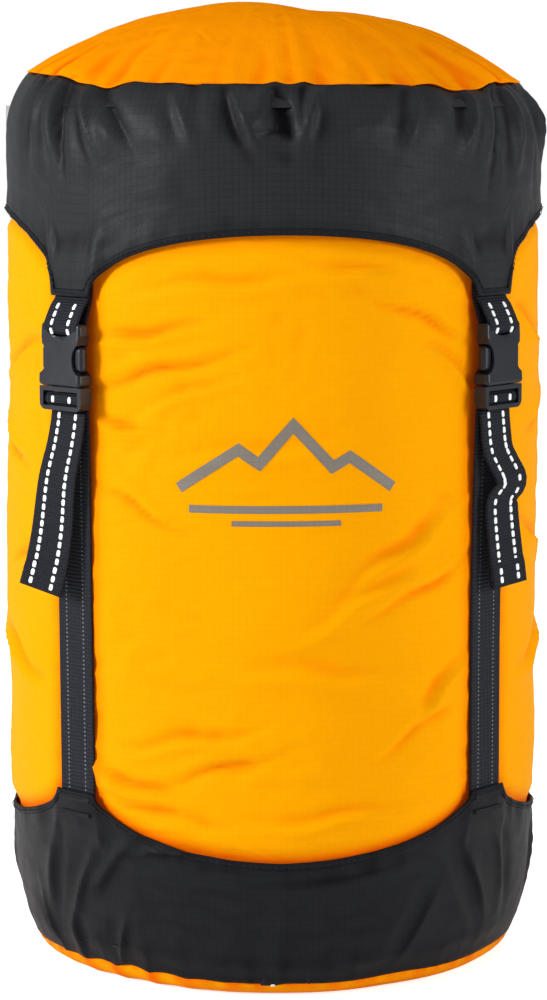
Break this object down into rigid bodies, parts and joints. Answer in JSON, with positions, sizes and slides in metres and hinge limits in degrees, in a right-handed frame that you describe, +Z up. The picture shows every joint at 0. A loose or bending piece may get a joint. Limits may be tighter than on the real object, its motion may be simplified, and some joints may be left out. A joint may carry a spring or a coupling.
{
  "type": "compression sack",
  "caption": "Round compression sack with a domed cap, scalloped dark skirts and webbing straps with side-release buckles and ladder locks.",
  "frame": {"origin": "centre of the base's underside, on the surface that the sack stands on", "axes": "+Z up along the sack's axis, -Y towards the front, +X to the right seen from the front"},
  "size_m": [0.2216, 0.2216, 0.394],
  "materials": {
    "orange_cloth": "coated ripstop nylon, soft sheen, crinkled",
    "dark_cloth": "coated ripstop nylon, fine grid",
    "binding": "matt grosgrain binding",
    "webbing": "ribbed webbing with two rows of pale reflective dashes on its face",
    "thread": "dense stitching",
    "cord": "braided cord",
    "label": "smooth blank label tape",
    "steel": "spring wire",
    "buckle_plastic": "satin moulded acetal"
  },
  "bodies": {
    "base": {"base_disc": "orange_cloth", "base_skirt": "dark_cloth", "base_seam_tape": "dark_cloth", "base_hem_tape": "binding", "grab_handle": "webbing", "handle_bartacks": "thread", "sack_tube": "orange_cloth", "load_strap_fl": "webbing", "load_strap_fr": "webbing", "load_strap_br": "webbing", "load_strap_bl": "webbing", "base_tab_bartacks": "thread"},
    "crown": {"mouth_collar": "orange_cloth", "mouth_neck": "orange_cloth", "drawcord_channel": "binding", "drawcord": "cord"},
    "cord_lock": {"cord_lock_barrel": "buckle_plastic", "cord_lock_spring": "steel"},
    "plunger": {"cord_lock_plunger": "buckle_plastic"},
    "lid": {"lid_panel": "orange_cloth", "lid_skirt": "dark_cloth", "lid_seam_tape": "dark_cloth", "lid_hem_tape": "binding", "lid_tab_bartacks": "thread", "care_label": "label", "upper_loop_fl": "webbing", "upper_loop_fr": "webbing", "upper_loop_br": "webbing", "upper_loop_bl": "webbing", "female_fl": "buckle_plastic", "female_fr": "buckle_plastic", "female_br": "buckle_plastic", "female_bl": "buckle_plastic"},
    "buckle_fl": {"male_frame_fl": "buckle_plastic", "strap_wrap_fl": "webbing"},
    "arm_fl_l": {"arm_fl_l": "buckle_plastic"},
    "arm_fl_r": {"arm_fl_r": "buckle_plastic"},
    "tail_fl": {"tail_fl": "webbing"},
    "buckle_fr": {"male_frame_fr": "buckle_plastic", "strap_wrap_fr": "webbing"},
    "arm_fr_l": {"arm_fr_l": "buckle_plastic"},
    "arm_fr_r": {"arm_fr_r": "buckle_plastic"},
    "tail_fr": {"tail_fr": "webbing"},
    "buckle_br": {"male_frame_br": "buckle_plastic", "strap_wrap_br": "webbing"},
    "arm_br_l": {"arm_br_l": "buckle_plastic"},
    "arm_br_r": {"arm_br_r": "buckle_plastic"},
    "tail_br": {"tail_br": "webbing"},
    "buckle_bl": {"male_frame_bl": "buckle_plastic", "strap_wrap_bl": "webbing"},
    "arm_bl_l": {"arm_bl_l": "buckle_plastic"},
    "arm_bl_r": {"arm_bl_r": "buckle_plastic"},
    "tail_bl": {"tail_bl": "webbing"}
  },
  "joints": [
    {"name": "compress", "type": "slide", "parent": "base", "child": "crown", "axis": [0, 0, 1], "range_m": [-0.13, 0], "deforming": ["sack_tube", "load_strap_fl", "load_strap_fr", "load_strap_br", "load_strap_bl"]},
    {"name": "lid_lift", "type": "slide", "parent": "crown", "child": "lid", "axis": [0, 0, 1], "range_m": [0, 0.2]},
    {"name": "cord_lock_slide", "type": "slide", "parent": "crown", "child": "cord_lock", "axis": [0, -1, 0], "range_m": [0, 0.02]},
    {"name": "plunger_press", "type": "slide", "parent": "cord_lock", "child": "plunger", "axis": [1, 0, 0], "range_m": [-0.003, 0], "stiffness_N_per_m": 300, "springref_m": 0.002, "deforming": ["cord_lock_spring"]},
    {"name": "release_fl", "type": "slide", "parent": "crown", "child": "buckle_fl", "axis": [0, 0, 1], "range_m": [-0.022, 0], "deforming": ["load_strap_fl", "arm_fl_l", "arm_fl_r"]},
    {"name": "pinch_fl", "type": "hinge", "parent": "buckle_fl", "child": "arm_fl_l", "pos_m": [-0.09076, -0.06936, 0.2416], "axis": [0.7547, 0.6561, 0], "range_deg": [0, 8], "stiffness_Nm_per_rad": 0.05, "springref_deg": -5.73},
    {"name": "pinch_right_fl", "type": "hinge", "parent": "buckle_fl", "child": "arm_fl_r", "pos_m": [-0.08131, -0.08023, 0.2416], "axis": [0.7547, 0.6561, 0], "range_deg": [-8, 0], "stiffness_Nm_per_rad": 0.05, "springref_deg": 5.73},
    {"name": "tail_lift_fl", "type": "hinge", "parent": "buckle_fl", "child": "tail_fl", "pos_m": [-0.08468, -0.07361, 0.2323], "axis": [-0.6561, 0.7547, 0], "range_deg": [0, 70]},
    {"name": "release_fr", "type": "slide", "parent": "crown", "child": "buckle_fr", "axis": [0, 0, 1], "range_m": [-0.022, 0], "deforming": ["load_strap_fr", "arm_fr_l", "arm_fr_r"]},
    {"name": "pinch_fr", "type": "hinge", "parent": "buckle_fr", "child": "arm_fr_l", "pos_m": [0.08131, -0.08023, 0.2416], "axis": [-0.7547, 0.6561, 0], "range_deg": [0, 8], "stiffness_Nm_per_rad": 0.05, "springref_deg": -5.73},
    {"name": "pinch_right_fr", "type": "hinge", "parent": "buckle_fr", "child": "arm_fr_r", "pos_m": [0.09076, -0.06936, 0.2416], "axis": [-0.7547, 0.6561, 0], "range_deg": [-8, 0], "stiffness_Nm_per_rad": 0.05, "springref_deg": 5.73},
    {"name": "tail_lift_fr", "type": "hinge", "parent": "buckle_fr", "child": "tail_fr", "pos_m": [0.08468, -0.07361, 0.2323], "axis": [-0.6561, -0.7547, 0], "range_deg": [0, 70]},
    {"name": "release_br", "type": "slide", "parent": "crown", "child": "buckle_br", "axis": [0, 0, 1], "range_m": [-0.022, 0], "deforming": ["load_strap_br", "arm_br_l", "arm_br_r"]},
    {"name": "pinch_br", "type": "hinge", "parent": "buckle_br", "child": "arm_br_l", "pos_m": [0.09076, 0.06936, 0.2416], "axis": [-0.7547, -0.6561, 0], "range_deg": [0, 8], "stiffness_Nm_per_rad": 0.05, "springref_deg": -5.73},
    {"name": "pinch_right_br", "type": "hinge", "parent": "buckle_br", "child": "arm_br_r", "pos_m": [0.08131, 0.08023, 0.2416], "axis": [-0.7547, -0.6561, 0], "range_deg": [-8, 0], "stiffness_Nm_per_rad": 0.05, "springref_deg": 5.73},
    {"name": "tail_lift_br", "type": "hinge", "parent": "buckle_br", "child": "tail_br", "pos_m": [0.08468, 0.07361, 0.2323], "axis": [0.6561, -0.7547, 0], "range_deg": [0, 70]},
    {"name": "release_bl", "type": "slide", "parent": "crown", "child": "buckle_bl", "axis": [0, 0, 1], "range_m": [-0.022, 0], "deforming": ["load_strap_bl", "arm_bl_l", "arm_bl_r"]},
    {"name": "pinch_bl", "type": "hinge", "parent": "buckle_bl", "child": "arm_bl_l", "pos_m": [-0.08131, 0.08023, 0.2416], "axis": [0.7547, -0.6561, 0], "range_deg": [0, 8], "stiffness_Nm_per_rad": 0.05, "springref_deg": -5.73},
    {"name": "pinch_right_bl", "type": "hinge", "parent": "buckle_bl", "child": "arm_bl_r", "pos_m": [-0.09076, 0.06936, 0.2416], "axis": [0.7547, -0.6561, 0], "range_deg": [-8, 0], "stiffness_Nm_per_rad": 0.05, "springref_deg": 5.73},
    {"name": "tail_lift_bl", "type": "hinge", "parent": "buckle_bl", "child": "tail_bl", "pos_m": [-0.08468, 0.07361, 0.2323], "axis": [0.6561, 0.7547, 0], "range_deg": [0, 70]}
  ],
  "couplings": [
    {"joint": "pinch_right_fl", "follows": "pinch_fl", "ratio": -1},
    {"joint": "pinch_right_fr", "follows": "pinch_fr", "ratio": -1},
    {"joint": "pinch_right_br", "follows": "pinch_br", "ratio": -1},
    {"joint": "pinch_right_bl", "follows": "pinch_bl", "ratio": -1}
  ]
}
